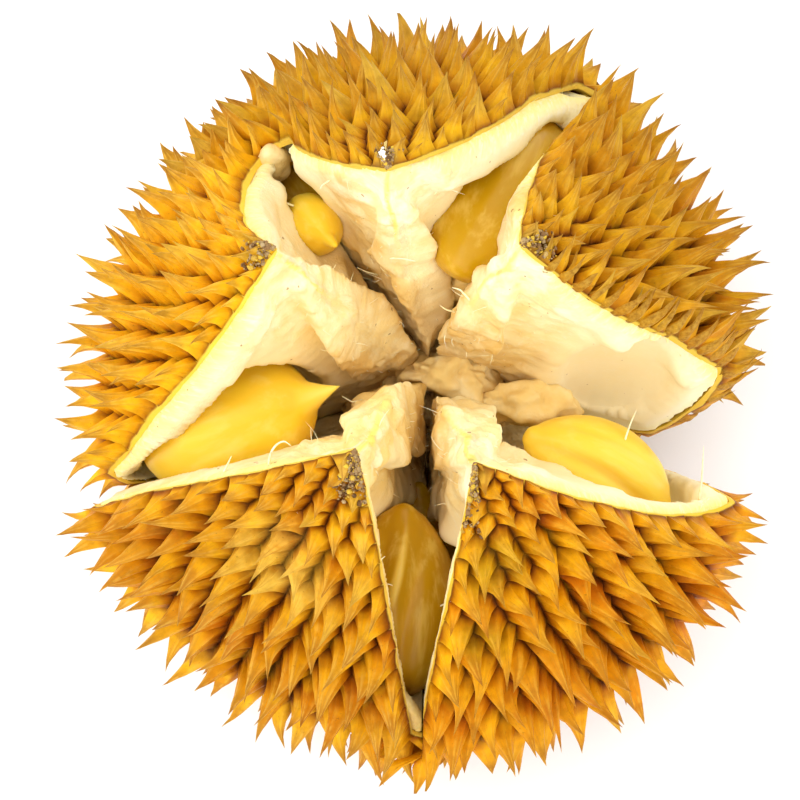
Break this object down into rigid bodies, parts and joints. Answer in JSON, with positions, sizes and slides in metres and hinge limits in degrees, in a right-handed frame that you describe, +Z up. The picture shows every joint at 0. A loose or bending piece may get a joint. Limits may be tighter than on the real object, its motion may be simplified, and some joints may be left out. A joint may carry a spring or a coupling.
{
  "type": "opened durian",
  "caption": "Ripe durian standing on its stem end, its spiny husk split along the sutures into valves that lean outwards, with cream pith and yellow pulp lobes in the gaps.",
  "frame": {"origin": "centre of the cut stalk's flat face, on the ground plane", "axes": "+Z up along the fruit's own axis; -Y is the side with the two front valves; +X to the right of them"},
  "size_m": [0.2193, 0.2415, 0.1583],
  "materials": {
    "rind": "hard, ochre to orange spines with greyish brown tips, satin",
    "pith": "cream, matte, torn and fibrous",
    "pulp": "golden yellow, soft, slightly moist and translucent",
    "stalk": "brown, woody and rough"
  },
  "bodies": {
    "root": {"rind_back": "rind", "pith_back": "pith", "rind_right": "rind", "pith_right": "pith", "rind_front_right": "rind", "pith_front_right": "pith", "rind_front_left": "rind", "pith_front_left": "pith", "rind_left": "rind", "pith_left": "pith", "pulp_back_right": "pulp", "pulp_right": "pulp", "pulp_front": "pulp", "pulp_front_left": "pulp", "pulp_back_left": "pulp", "pulp_back_left_lower": "pulp", "pulp_front_lower": "pulp", "stalk": "stalk"}
  },
  "joints": []
}
